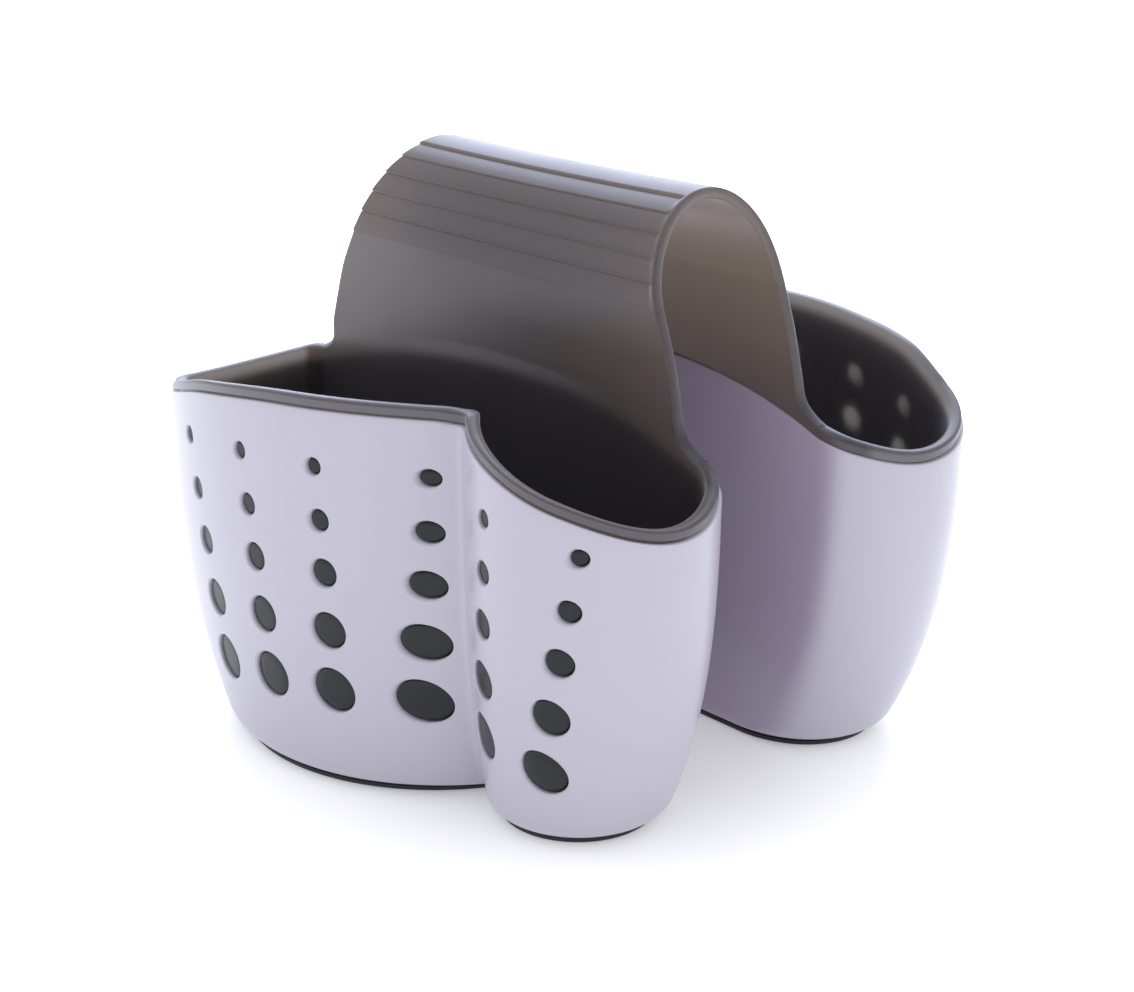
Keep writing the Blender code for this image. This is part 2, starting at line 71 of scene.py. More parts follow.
pocket = {
    "dividerFaceY": 0.0180,       # flat wall against the divider
    "floorSmall": (0.0457, 0.0380, 0.0205),   # small lobe at the floor: x, y, radius
    "floorBig": (-0.0209, 0.0244, 0.0538),    # big lobe at the floor
    "floorCornerX": -0.0685,      # outer and inner corner on the left
    "floorLeftX": -0.0673,
    "topSmall": (0.0541, 0.0412, 0.0280),     # the same where the flare ends
    "topBig": (-0.0235, -0.0079, 0.0918),
    "topCornerX": -0.0821,
    "topLeftX": -0.0810,
    "flareHeight": 0.0900,
    "flarePower": 3.04,           # how early the wall has flared out
    "cornerSetback": 0.0018,      # roundings in plan
    "valleySetback": 0.0028,
    "innerSetback": 0.0030,
    "softEdgeRise": 0.0030,       # least rounding from the small lobe into the divider wall
    "softEdgeShare": 0.15,        # and what the lobe's radius adds to it
    "swellTurn": 5.0,             # degrees the rear wall swells out at each lobe
    "floorRadius": 0.0039,        # rounding into the floor
    "dividerRounding": 0.25,      # share of it on the divider wall
    "shellWall": 0.0018,
    "gap": 0.0003,                # between all that is pressed together
    "padHeight": 0.0016,          # underside of the shell over the ground
}

# rim heights: place along the outline (0 left wall, 1 corner, 2 valley, 3 right edge) and height
rim = {
    "frontPlaces": (0.0, 1.0, 1.2, 1.4, 1.65, 1.96, 2.1, 2.4, 2.75, 3.12),
    "frontHeights": (0.0833, 0.0818, 0.0880, 0.0941, 0.0979, 0.0990, 0.0956, 0.0868, 0.0794, 0.0858),
    "rearPlaces": (0.0, 1.0, 1.2, 1.45, 1.87, 2.06, 2.17, 2.34, 2.75, 3.12),
    "rearHeights": (0.0833, 0.0818, 0.0880, 0.0925, 0.0960, 0.0952, 0.0937, 0.0864, 0.0794, 0.0858),
    "swell": (1.65, 2.3),         # stretch of the rear outline between its lobes
    "leftRoot": 0.0833,           # where the strap's legs come out of the rim
    "rightRoot": 0.0858,
    "lipHeight": 0.0024,
    "lipInset": 0.0006,
    "lipRadius": 0.0009,
    "shellDrop": 0.0003,          # the shell's rounded top edge stays this far under the lip's seat
}

# top edge of the shell's divider wall, under the strap
arch = {"crestX": 0.0002, "crestHeight": 0.0938, "rightPower": 2.6, "leftPower": 1.9}

# how finely the walls are drawn: columns round the outline, then rows
steps = {
    "leftWall": 20, "corner": 6, "bigLobe": 100, "valley": 8, "smallLobe": 76, "softEdge": 10,
    "swellBigLobe": 60, "swell": 48,          # the rear pocket's instead of bigLobe and valley
    "legSide": 26, "legTop": 40, "innerCorner": 8,
    "sideShare": 0.11,            # share of the divider wall whose columns run up one side of the leg
    "sideCrowding": 1.2,          # they crowd towards the wall's ends
    "wallCrowding": 1.15,         # rows crowd towards the floor
    "wallSamples": 7,             # heights at which a wall is read for its holes
}


def mixed(a, b, t):
    return a + (b - a) * t


def monotoneCurve(places, heights, at):
    # smooth curve through the given heights that never overshoots them
    places, heights = np.asarray(places, float), np.asarray(heights, float)
    width = np.diff(places)
    slope = np.diff(heights) / width
    tangent = np.zeros(len(heights))
    tangent[0], tangent[-1] = slope[0], slope[-1]
    for i in range(1, len(heights) - 1):
        if slope[i - 1] * slope[i] > 0:
            a, b = 2 * width[i] + width[i - 1], width[i] + 2 * width[i - 1]
            tangent[i] = (a + b) / (a / slope[i - 1] + b / slope[i])
    i = np.clip(np.searchsorted(places, at) - 1, 0, len(width) - 1)
    t = (at - places[i]) / width[i]
    return (heights[i] * (1 + 2 * t) * (1 - t) ** 2 + tangent[i] * width[i] * t * (1 - t) ** 2
            + heights[i + 1] * t * t * (3 - 2 * t) + tangent[i + 1] * width[i] * t * t * (t - 1))


def makeColumns(side):
    # one entry per column round the outline: its stretch, its share of that stretch, its rim place
    legSide, legTop, end = steps["legSide"], steps["legTop"], steps["sideShare"]
    sideShares = end * (np.arange(legSide + 1) / legSide) ** steps["sideCrowding"]
    dividerShares = np.concatenate([sideShares, np.linspace(end, 1 - end, legTop + 1)[1:-1],
                                    1 - sideShares[::-1]])
    bends = lambda n: np.arange(1, n) / n
    full = lambda n: np.linspace(0, 1, n + 1)
    bigEnd, smallStart = rim["swell"] if side == "rear" else (2, 2)
    bigSteps, betweenSteps = steps["bigLobe"], steps["valley"]
    if side == "rear":
        bigSteps, betweenSteps = steps["swellBigLobe"], steps["swell"]
    root = rim[side + "Places"][-1]
    stretches = [
        ("leftWall", full(steps["leftWall"]), 0, 1),
        ("corner", bends(steps["corner"]), 1, 1),
        ("bigLobe", full(bigSteps), 1, bigEnd),
        ("between", bends(betweenSteps), bigEnd, smallStart),
        ("smallLobe", full(steps["smallLobe"]), smallStart, 3),
        ("softEdge", bends(steps["softEdge"]), 3, root),
        ("divider", dividerShares, root, root),
        ("innerCorner", bends(steps["innerCorner"]), 0, 0),
    ]
    columns = {"share": np.concatenate([t for _, t, _, _ in stretches]),
               "place": np.concatenate([mixed(first, last, t) for _, t, first, last in stretches]),
               "side": side, "stretch": {}}
    start = 0
    for name, t, _, _ in stretches:
        columns["stretch"][name] = slice(start, start + len(t))
        start += len(t)
    columns["count"] = start
    columns["divider"] = np.arange(start)[columns["stretch"]["divider"]]
    return columns


def flareShare(z):
    return 1 - (1 - np.clip(z / pocket["flareHeight"], 0, 1)) ** pocket["flarePower"]


def lobeAt(z, name, inset):
    floor, top, t = pocket["floor" + name], pocket["top" + name], flareShare(z)
    return mixed(floor[0], top[0], t), mixed(floor[1], top[1], t), mixed(floor[2], top[2], t) - inset


def bend(start, corner, end, t):
    return start * (1 - t) ** 2 + corner * 2 * t * (1 - t) + end * t * t


def outlineRow(columns, z, inset, dividerInset):
    # plan outline, each column at its own height z, moved inward
    count = columns["count"]
    z = np.broadcast_to(np.asarray(z, float), (count,))
    inset = np.broadcast_to(np.asarray(inset, float), (count,))
    share = flareShare(z)
    bigX, bigY, bigR = lobeAt(z, "Big", inset)
    smallX, smallY, smallR = lobeAt(z, "Small", inset)
    big, small = np.stack([bigX, bigY], 1), np.stack([smallX, smallY], 1)
    leftX = mixed(pocket["floorLeftX"], pocket["topLeftX"], share) + inset
    cornerX = mixed(pocket["floorCornerX"], pocket["topCornerX"], share) + inset
    wallY = pocket["dividerFaceY"] + np.broadcast_to(np.asarray(dividerInset, float), (count,))

    corner = np.stack([cornerX, bigY + np.sqrt(bigR ** 2 - (cornerX - bigX) ** 2)], 1)
    innerCorner = np.stack([leftX, wallY], 1)
    upWall = corner - innerCorner
    upWall /= np.linalg.norm(upWall, axis=1)[:, None]
    leftStart = innerCorner + upWall * pocket["innerSetback"]
    leftEnd = corner - upWall * pocket["cornerSetback"]

    # valley between the lobes, or the swell from one to the other
    apart = small - big
    distance = np.linalg.norm(apart, axis=1)
    angleOf = lambda c, p: np.arctan2(p[:, 1] - c[:, 1], p[:, 0] - c[:, 0])
    bigStart = angleOf(big, corner) - pocket["cornerSetback"] / bigR
    if columns["side"] == "rear":
        lean = angleOf(big, small) + np.arccos((bigR - smallR) / distance)
        bigEnd, smallStart = (lean + turn * math.radians(pocket["swellTurn"]) for turn in (1, -1))
        ways = np.stack([np.stack([np.cos(a), np.sin(a)], 1) for a in (bigEnd, smallStart)], 1)
        reaches = np.stack([(ways[:, 0] * big).sum(1) + bigR, (ways[:, 1] * small).sum(1) + smallR], 1)
        between = np.linalg.solve(ways, reaches[:, :, None])[:, :, 0]
    else:
        along = (bigR ** 2 - smallR ** 2 + distance ** 2) / (2 * distance)
        across = np.sqrt(np.maximum(bigR ** 2 - along ** 2, 0))
        way = apart / distance[:, None]
        between = big + way * along[:, None] + np.stack([-way[:, 1], way[:, 0]], 1) * across[:, None]
        bigEnd = angleOf(big, between) + pocket["valleySetback"] / bigR
        smallStart = angleOf(small, between) - pocket["valleySetback"] / smallR

    onCircle = lambda c, r, a: c + r[:, None] * np.stack([np.cos(a), np.sin(a)], 1)
    rise = np.maximum(pocket["softEdgeRise"], smallY - smallR - wallY + pocket["softEdgeShare"] * smallR)
    smallEnd = np.arcsin(np.clip((wallY + rise - smallY) / smallR, -1, 0))
    lobeEnd = onCircle(small, smallR, smallEnd)
    reach = (lobeEnd[:, 1] - wallY) / np.cos(smallEnd)
    softCorner = lobeEnd + np.stack([np.sin(smallEnd), -np.cos(smallEnd)], 1) * reach[:, None]
    wallStart = np.stack([softCorner[:, 0] - reach, wallY], 1)
    wallEnd = np.stack([leftX + pocket["innerSetback"], wallY], 1)

    t = columns["share"][:, None]
    s = columns["share"]
    points = np.zeros((count, 3))
    points[:, 2] = z
    forms = {
        "leftWall": mixed(leftStart, leftEnd, t),
        "corner": bend(leftEnd, corner, onCircle(big, bigR, bigStart), t),
        "bigLobe": onCircle(big, bigR, mixed(bigStart, bigEnd, s)),
        "between": bend(onCircle(big, bigR, bigEnd), between, onCircle(small, smallR, smallStart), t),
        "smallLobe": onCircle(small, smallR, mixed(smallStart, smallEnd, s)),
        "softEdge": bend(lobeEnd, softCorner, wallStart, t),
        "divider": mixed(wallStart, wallEnd, t),
        "innerCorner": bend(wallEnd, innerCorner, leftStart, t),
    }
    for name, form in forms.items():
        part = columns["stretch"][name]
        points[part, :2] = form[part]
    return points


def addHeights(columns):
    # rim height of each column, and the shell's top edge:
    # under the lip outside, an arch on the divider wall
    side, divider = columns["side"], columns["divider"]
    columns["rim"] = monotoneCurve(rim[side + "Places"], rim[side + "Heights"], columns["place"])
    tops = columns["rim"] - rim["lipHeight"] - pocket["gap"]
    x = outlineRow(columns, pocket["flareHeight"], 0, 0)[divider, 0]
    columns["rootX"] = x[0], x[-1]
    right, left = (rim[end] - rim["lipHeight"] - pocket["gap"] for end in ("rightRoot", "leftRoot"))
    rightShare = np.clip((x - arch["crestX"]) / (x[0] - arch["crestX"]), 0, 1)
    leftShare = np.clip((arch["crestX"] - x) / (arch["crestX"] - x[-1]), 0, 1)
    tops[divider] = np.where(x > arch["crestX"],
                             mixed(arch["crestHeight"], right, rightShare ** arch["rightPower"]),
                             mixed(arch["crestHeight"], left, leftShare ** arch["leftPower"]))
    columns["tops"] = tops
    return columns


pockets = {side: addHeights(makeColumns(side)) for side in ("front", "rear")}


def cupRows(columns, topHeights, floor, radius, inset, wallSteps, floorSteps):
    # rows of one wall surface, from its floor rounding up to the given heights
    rows = []
    for step in range(floorSteps):
        turn = math.pi / 2 * (1 - step / floorSteps)
        drawnIn = radius * (1 - math.cos(turn))
        z = floor + radius * (1 - math.sin(turn))
        rows.append(outlineRow(columns, z, inset + drawnIn, inset + drawnIn * pocket["dividerRounding"]))
    for step in range(wallSteps + 1):
        share = (step / wallSteps) ** steps["wallCrowding"]
        rows.append(outlineRow(columns, mixed(floor + radius, topHeights, share), inset, inset))
    return rows


def tubeFaces(first, ringCount, count):
    # quads between neighbouring rings of points and a cap at each end, counted from the first point
    faces = []
    last = first + (ringCount - 1) * count
    for start in range(first, last, count):
        for c in range(count):
            n = (c + 1) % count
            faces.append((start + c, start + n, start + count + n, start + count + c))
    faces.append(tuple(range(first, first + count))[::-1])
    faces.append(tuple(range(last, last + count)))
    return faces


def meshFrom(name, points, faces, mirrored):
    if mirrored:
        points = points * np.array((1, -1, 1))
    mesh = bpy.data.meshes.new(name)
    mesh.from_pydata(points.tolist(), [], faces)
    return mesh


def meshFromRows(name, rows, mirrored):
    faces = tubeFaces(0, len(rows), len(rows[0]))
    if not mirrored:
        faces = [face[::-1] for face in faces]
    return meshFrom(name, np.concatenate(rows), faces, mirrored)


def facedOutward(mesh):
    edit = bmesh.new()
    edit.from_mesh(mesh)
    bmesh.ops.recalc_face_normals(edit, faces=edit.faces)
    edit.to_mesh(mesh)
    edit.free()
    return mesh


def openedWhere(mesh, isDropped):
    edit = bmesh.new()
    edit.from_mesh(mesh)
    dropped = [face for face in edit.faces if isDropped(face)]
    bmesh.ops.delete(edit, geom=dropped, context="FACES_ONLY")
    edit.to_mesh(mesh)
    edit.free()
    return mesh


def addPiece(name, mesh, material, sharpDegrees):
    # without a given material the mesh keeps its own
    if material:
        mesh.materials.clear()
        mesh.materials.append(material)
    mesh.shade_smooth()
    mesh.set_sharp_from_angle(angle=math.radians(sharpDegrees))
    piece = bpy.data.objects.new(name, mesh)
    bpy.context.scene.collection.objects.link(piece)
    return piece


# Holes and plugs

holes = {
    # six columns from left to right, five rows from the top down
    "topX": (-0.0456, -0.0200, 0.0034, 0.0292, 0.0499, 0.0724),
    "bottomX": (-0.0344, -0.0147, 0.0042, 0.0242, 0.0433, 0.0609),
    "bow": 0.0010,                # the columns bow this much to the right half-way up
    "frontTopZ": (0.0783, 0.0811, 0.0821, 0.0830, 0.0796, 0.0753),
    "rearTopZ": (0.0778, 0.0797, 0.0803, 0.0801, 0.0773, 0.0737),
    "bottomZ": (0.0240, 0.0262, 0.0271, 0.0279, 0.0253, 0.0222),
    "rowShares": (1.0, 0.77, 0.54, 0.28, 0.0),
    "diameters": (0.0041, 0.0053, 0.0068, 0.0090, 0.0113),
    "topWidths": (1.04, 1.0, 1.0, 1.2, 0.95, 0.88),      # width for height
    "bottomWidths": (1.0, 1.0, 0.97, 1.03, 0.85, 0.88),  # the same in the lowest row
    "widthShare": 0.25,           # share of the height in which the one changes to the other
    "sides": 48,
    "rimRadius": 0.0005,          # rounding of the shell round each hole
    "drillStart": -0.0040,        # a drill reaches from outside the wall
    "drillSkin": 0.00002,         # past just under its face
    "drillEnd": 0.0045,           # to inside the cup
    "plugGap": 0.0003,
    "plugRecess": 0.0007,
    "plugRadius": 0.0003,
    "plugEnd": 0.0028,            # plugs start this deep, inside the liner's wall
}


def wallPoints(columns, x, z, inset):
    # y of the outer wall at each x and z, read between a few heights
    facing = slice(columns["stretch"]["leftWall"].stop, columns["stretch"]["softEdge"].start)
    heights = np.linspace(z.min(), z.max(), steps["wallSamples"])
    table = []
    for height in heights:
        outer = outlineRow(columns, height, inset, 0)[facing]
        outer = outer[:np.argmax(outer[:, 0]) + 1]
        table.append(np.interp(x, outer[:, 0], outer[:, 1]))
    y = [np.interp(oneZ, heights, column) for oneZ, column in zip(z, np.array(table).T)]
    return np.stack([x, y, z], 1)


def ringsAtHoles(columns, profile):
    # for every hole, rings that follow the wall. The profile gives how much wider than the hole each
    # ring is, how deep it lies and how far it is drawn in to the hole's middle.
    turn = np.linspace(0, 2 * math.pi, holes["sides"], endpoint=False)
    topZ = holes[columns["side"] + "TopZ"]
    for column in range(len(holes["topX"])):
        for share, diameter in zip(holes["rowShares"], holes["diameters"]):
            x = mixed(holes["bottomX"][column], holes["topX"][column], share)
            x += holes["bow"] * 4 * share * (1 - share)
            z = mixed(holes["bottomZ"][column], topZ[column], share)
            upward = min(1, share / holes["widthShare"])
            width = mixed(holes["bottomWidths"][column], holes["topWidths"][column], upward)
            wide, high = diameter / 2 * width, diameter / 2
            rings = []
            for wider, depth, shrink in profile:
                ringX = x + (wide + wider) * shrink * np.cos(turn)
                ringZ = z + (high + wider) * shrink * np.sin(turn)
                rings.append(wallPoints(columns, ringX, ringZ, depth))
            yield rings


def meshAtHoles(name, columns, profile, mirrored):
    # all the drills, or all the plugs, as one mesh
    rings, faces, count = [], [], holes["sides"]
    for ringsOfOne in ringsAtHoles(columns, profile):
        faces += tubeFaces(len(rings) * count, len(ringsOfOne), count)
        rings += ringsOfOne
    return facedOutward(meshFrom(name, np.concatenate(rings), faces, mirrored))


def drillProfile():
    r, skin = holes["rimRadius"], holes["drillSkin"]
    return [(r * 0.95, holes["drillStart"], 1), (r * 0.95, skin, 1), (r * 0.5, r * 0.22, 1),
            (r * 0.14, r * 0.6, 1), (0.0, r, 1), (0.0, holes["drillEnd"], 1)]


def plugProfile():
    gap, depth, r = holes["plugGap"], holes["plugRecess"], holes["plugRadius"]
    return [(-gap, holes["plugEnd"], 1), (-gap, depth + r, 1), (-gap - r * 0.3, depth + r * 0.3, 1),
            (-gap - r, depth, 1), (-gap - r, depth, 0.6), (-gap - r, depth, 0.2)]


def booleanApplied(mesh, cutter, operation):
    target = bpy.data.objects.new("target", mesh)
    tool = bpy.data.objects.new("tool", cutter)
    for item in (target, tool):
        bpy.context.scene.collection.objects.link(item)
    modifier = target.modifiers.new("cut", "BOOLEAN")
    modifier.operation = operation
    modifier.solver = "EXACT"
    modifier.object = tool
    bpy.context.view_layer.update()
    result = bpy.data.meshes.new_from_object(target.evaluated_get(bpy.context.evaluated_depsgraph_get()))
    for item in (target, tool):
        bpy.data.objects.remove(item, do_unlink=True)
    return result


# Soft moulding: liner cups, lips and strap

soft = {
    "linerWall": 0.0015,
    "floorRadius": 0.0015,        # inside the cup
    "thickness": 0.0027,          # of the strap
    # edges of the strap at its root, hinge, shoulder and top
    "rightEdge": (0.0602, 0.0560, 0.0510, 0.0463),
    "leftEdge": (-0.0723, -0.0668, -0.0596, -0.0502),
    "hingeHeight": 0.1050,
    "shoulderHeight": 0.1200,
    "topHeight": 0.1407,
    "topSag": 0.00055,            # the crown dips this much between its ends
    "topLean": 0.0003,            # and its left end lies this much lower
    "crownCentre": 0.1155,        # height from which the crown is round
    "rootFlare": 0.0045,          # measure of the leg's widening at its root
    "flareReach": 1.6,            # its height along the leg's edges, in that measure
    "flareReachInside": 2,        # and on the pocket side
    "flarePower": 2.4,
    "legTop": 0.1169,             # the legs end here and the crown begins
    "seam": 0.000005,             # between the two
    "sinkPower": 1.5,             # how soon the leg's face comes out from under the last rib
    "bendHeights": (0.1160, 0.0995),          # the real leg bends between these heights
    "ribFirst": 0.0065,           # way from the crown's top to its first rib
    "ribPitch": 0.00564,
    "ribCount": 6,
    "ribDepth": 0.00042,
    "ribRun": 0.00040,            # width of the step under each rib
    "ribTaper": 0.9,              # each band rises again towards the next rib
    "ribGroove": 1.5,             # how deep the line in that step goes, in rib depths
    "ribFade": (0.0010, 0.0022),  # ribs run out between these distances from the strap's right edge
    "edgeRadius": 0.0008,
    "edgeFullness": 0.8,          # below 1 an edge is squarer than round
    "sharpDegrees": 50,
}

# how finely it is drawn
softSteps = {
    "outside": (16, 3), "inside": (34, 5),    # rows up the cup's wall and round its floor
    "rise": 16, "edge": 14, "rib": 8, "across": 70,
    "legCrowding": 1.6,           # points of the leg's edge crowd towards its root
    "rootTurn": 6,                # over so many of them the edge turns from facing up to facing sideways
    "crownSamples": 2001,         # for measuring the way down the crown
}
cavityInset = pocket["shellWall"] + pocket["gap"] + soft["linerWall"]
crownHalfY = pocket["dividerFaceY"] + soft["thickness"]
crownRise = soft["topHeight"] - soft["crownCentre"]


def strapEdge(side, z):
    # x of the strap's right (1) or left (-1) edge
    end = "right" if side > 0 else "left"
    heights = (rim[end + "Root"], soft["hingeHeight"], soft["shoulderHeight"], soft["topHeight"])
    return monotoneCurve(heights, soft[end + "Edge"], z)


def sunkShare(z):
    # the smooth leg starts a little sunk under the last rib and comes out to full thickness
    share = np.clip((z - soft["hingeHeight"]) / (soft["legTop"] - soft["hingeHeight"]), 0, 1)
    return share ** soft["sinkPower"]


def eased(share):
    return share * share * (3 - 2 * share)


def ribFade(x, z):
    # 0 on the smooth bead at the strap's right edge, 1 over the rest
    low, high = soft["ribFade"]
    return eased(np.clip((strapEdge(1, z) - x - low) / (high - low), 0, 1))


def legFrontY(z):
    # divider side of the leg
    rise = np.clip((z - soft["crownCentre"]) / (crownRise - soft["thickness"]), 0, 1)
    return pocket["dividerFaceY"] * np.sqrt(1 - rise ** 2)


def legBackY(x, z):
    # pocket side of the leg, thinning from its root up to the strap
    share = np.clip((z - rim["leftRoot"]) / (soft["hingeHeight"] - rim["leftRoot"]), 0, 1)
    flat = pocket["dividerFaceY"] + mixed(cavityInset, soft["thickness"], eased(share))
    rise = np.clip((z - soft["crownCentre"]) / crownRise, 0, 1)
    return flat * np.sqrt(1 - rise ** 2) - soft["ribDepth"] * sunkShare(z) * ribFade(x, z)


def closerAtEnds(count):
    # shares between 0 and 1 that lie closer together near both ends
    return (1 - np.cos(np.linspace(0, math.pi, count + 1)[1:-1])) / 2


def legContour(columns):
    # edge of the strap's leg in the XZ plane, from its right root over the top to its left root,
    # and the way that edge faces
    side, top = steps["legSide"], steps["legTop"]
    legTop = soft["legTop"] - soft["seam"]
    edges, facings = [], []
    for sign, rootX, root in zip((1, -1), columns["rootX"], (rim["rightRoot"], rim["leftRoot"])):
        z = mixed(root, legTop, (np.arange(side + 1) / side) ** softSteps["legCrowding"])
        spread = rootX - strapEdge(sign, root)
        fade = np.clip(1 - (z - root) / (soft["rootFlare"] * soft["flareReach"]), 0, 1)
        edge = np.stack([strapEdge(sign, z) + spread * fade ** soft["flarePower"], z], 1)
        along = np.gradient(edge, axis=0)
        facing = sign * np.stack([along[:, 1], -along[:, 0]], 1)
        facing /= np.linalg.norm(facing, axis=1)[:, None]
        turnOver = np.clip(np.arange(side + 1) / softSteps["rootTurn"], 0, 1)[:, None]
        facing = mixed(np.array([(0.0, 1.0)]), facing, turnOver)
        edges.append(edge)
        facings.append(facing / np.linalg.norm(facing, axis=1)[:, None])
    radius = soft["edgeRadius"]
    across = mixed(edges[0][-1, 0] - radius, edges[1][-1, 0] + radius, closerAtEnds(top))
    over = np.stack([across, np.full(len(across), legTop)], 1)
    contour = np.concatenate([edges[0], over, edges[1][::-1]])
    return contour, np.concatenate([facings[0], over * 0, facings[1][::-1]])


def innerShift(innerX, x, z):
    # the leg's pocket side starts at the cavity's own corners and joins its front edge higher up
    root = np.where(x > 0, rim["rightRoot"], rim["leftRoot"])
    fade = np.clip(1 - (z - root) / (soft["rootFlare"] * soft["flareReachInside"]), 0, 1)
    return np.where(x > 0, innerX[0] - x[0], innerX[-1] - x[-1]) * fade ** 2 * (3 - 2 * fade)


def linerRows(columns):
    linerInset = pocket["shellWall"] + pocket["gap"]
    floor = pocket["padHeight"] + linerInset
    stepHeights = columns["tops"] + pocket["gap"]
    outside = cupRows(columns, stepHeights, floor, pocket["floorRadius"] - linerInset, linerInset,
                      *softSteps["outside"])
    inside = cupRows(columns, stepHeights, floor + soft["linerWall"], soft["floorRadius"], cavityInset,
                     *softSteps["inside"])
    contour, facing = legContour(columns)
    divider = columns["divider"]

    # where the lip and the leg end, and which way their rounded edge points
    outerEnd = outlineRow(columns, columns["rim"], rim["lipInset"], 0)
    innerEnd = outlineRow(columns, columns["rim"], cavityInset, cavityInset)
    outward = np.tile((0.0, 0.0, rim["lipRadius"]), (columns["count"], 1))
    x, z = contour[:, 0], contour[:, 1]
    innerX = x + innerShift(innerEnd[divider, 0], x, z)
    outerEnd[divider] = np.stack([x, legFrontY(z), z], 1)
    innerEnd[divider] = np.stack([innerX, legBackY(x, z), z], 1)
    outward[divider] = soft["edgeRadius"] * np.stack([facing[:, 0], facing[:, 0] * 0, facing[:, 1]], 1)
    outerEnd, innerEnd = outerEnd - outward, innerEnd - outward

    # from the step over the shell's edge up to the lip or leg edge
    stepOut = outlineRow(columns, stepHeights, rim["lipInset"], 0)
    outerRise, innerRise = [], []
    for share in np.linspace(0, 1, softSteps["rise"])[1:-1]:
        outer = mixed(stepOut, outerEnd, share)
        inner = mixed(inside[-1], innerEnd, share)
        outer[divider, 1] = legFrontY(outer[divider, 2])
        inner[divider, 1] = legBackY(inner[divider, 0], inner[divider, 2])
        outerRise.append(outer)
        innerRise.append(inner)
    caps = []
    for turn in np.linspace(0, math.pi, softSteps["edge"])[1:-1]:
        across, bulge = (1 - math.cos(turn)) / 2, math.sin(turn) ** soft["edgeFullness"]
        caps.append(mixed(outerEnd, innerEnd, across) + outward * bulge)
    return outside + [stepOut] + outerRise + [outerEnd] + caps + [innerEnd] + innerRise[::-1] + inside[::-1]


def crownStations():
    # down one side of the crown: angle from its top, and how far the ribs sink its face, in rib depths
    angles = np.linspace(0, math.pi / 2, softSteps["crownSamples"])
    speed = np.hypot(crownHalfY * np.cos(angles), crownRise * np.sin(angles))
    travelled = np.concatenate([[0], np.cumsum((speed[1:] + speed[:-1]) / 2 * np.diff(angles))])
    # the step under each rib: share of its run, and how deep
    run, groove = soft["ribRun"], soft["ribGroove"]
    ribShares = (0.15, 0.15), (0.35, 0.9), (0.45, groove), (0.7, groove), (0.85, 1.1), (1, 1)
    stations = [(0.0, 0.0)]
    previous = 0.0
    for rib in range(soft["ribCount"]):
        edge = soft["ribFirst"] + rib * soft["ribPitch"]
        for share in np.linspace(0, 1, softSteps["rib"] + 1)[1:]:
            sunk = 0.0 if rib == 0 else (1 - share) ** soft["ribTaper"]
            stations.append((mixed(previous, edge, share), sunk))
        if rib < soft["ribCount"] - 1:
            stations += [(edge + run * share, sunk) for share, sunk in ribShares]
            previous = edge + run
    return [(np.interp(distance, travelled, angles), sunk) for distance, sunk in stations]


def crownRing(angle, sunk, sign, flatEnd):
    # rounded cross-section of the strap at one station, level at the end that meets a leg
    place = np.array((crownHalfY * math.sin(angle), soft["crownCentre"] + crownRise * math.cos(angle)))
    normal = np.array((math.sin(angle) / crownHalfY, math.cos(angle) / crownRise))
    normal /= np.linalg.norm(normal)
    inner = place - normal * soft["thickness"]
    if flatEnd:
        share = (soft["legTop"] - soft["crownCentre"]) / crownRise
        place = np.array((crownHalfY * math.sqrt(1 - share ** 2), soft["legTop"]))
        inner = np.array((legFrontY(soft["legTop"]), soft["legTop"]))
    right, left = strapEdge(1, place[1]), strapEdge(-1, place[1])
    radius = soft["edgeRadius"]
    turn = np.linspace(0, math.pi, softSteps["edge"])
    across, bulge = (1 - np.cos(turn)) / 2, np.sin(turn) ** soft["edgeFullness"]
    span = mixed(right - radius, left + radius, closerAtEnds(softSteps["across"]))
    x = np.concatenate([right - radius + radius * bulge, span, left + radius - radius * bulge, span[::-1]])
    depth = np.concatenate([across, span * 0 + 1, across[::-1], span * 0])[:, None]

    # ribs sink the outer face up to the bead, and the crown's top dips between its ends
    sink = soft["ribDepth"] * sunk * ribFade(x, place[1])[:, None]
    points = place * (1 - depth) + inner * depth - normal * sink * (1 - depth)
    fromMiddle = 2 * (x - (right + left) / 2) / (right - left)
    dip = soft["topSag"] * (1 - fromMiddle ** 2) + soft["topLean"] * (1 - fromMiddle) / 2
    points[:, 1] -= dip * math.cos(angle) ** 2
    return np.stack([x, sign * points[:, 0], points[:, 1]], 1)


def crownMesh():
    # both ends stay open, like the legs' tops, so that light passes from one into the other
    half = crownStations()
    last = len(half) - 1
    rear = [crownRing(*station, 1, index == last) for index, station in enumerate(half)]
    front = [crownRing(*station, -1, index == last) for index, station in enumerate(half)]
    mesh = facedOutward(meshFromRows("crown", rear[::-1] + front[1:], False))
    return openedWhere(mesh, lambda face: len(face.verts) > 4)


def legTopOpened(mesh):
    level = soft["legTop"] - 3 * soft["seam"]
    return openedWhere(mesh, lambda face: all(vert.co.z > level for vert in face.verts))


# Finishes

noiseRange = (0.1, 0.9)           # a noise texture seldom leaves it


def newMaterial(name):
    material = bpy.data.materials.new(name)
    material.use_nodes = True
    return material, material.node_tree.nodes["Principled BSDF"]


def addNoise(material, scale, detail):
    nodes, links = material.node_tree.nodes, material.node_tree.links
    noise = nodes.new("ShaderNodeTexNoise")
    noise.inputs["Scale"].default_value = scale
    noise.inputs["Detail"].default_value = detail
    links.new(nodes.new("ShaderNodeTexCoord").outputs["Object"], noise.inputs["Vector"])
    return noise.outputs["Fac"]


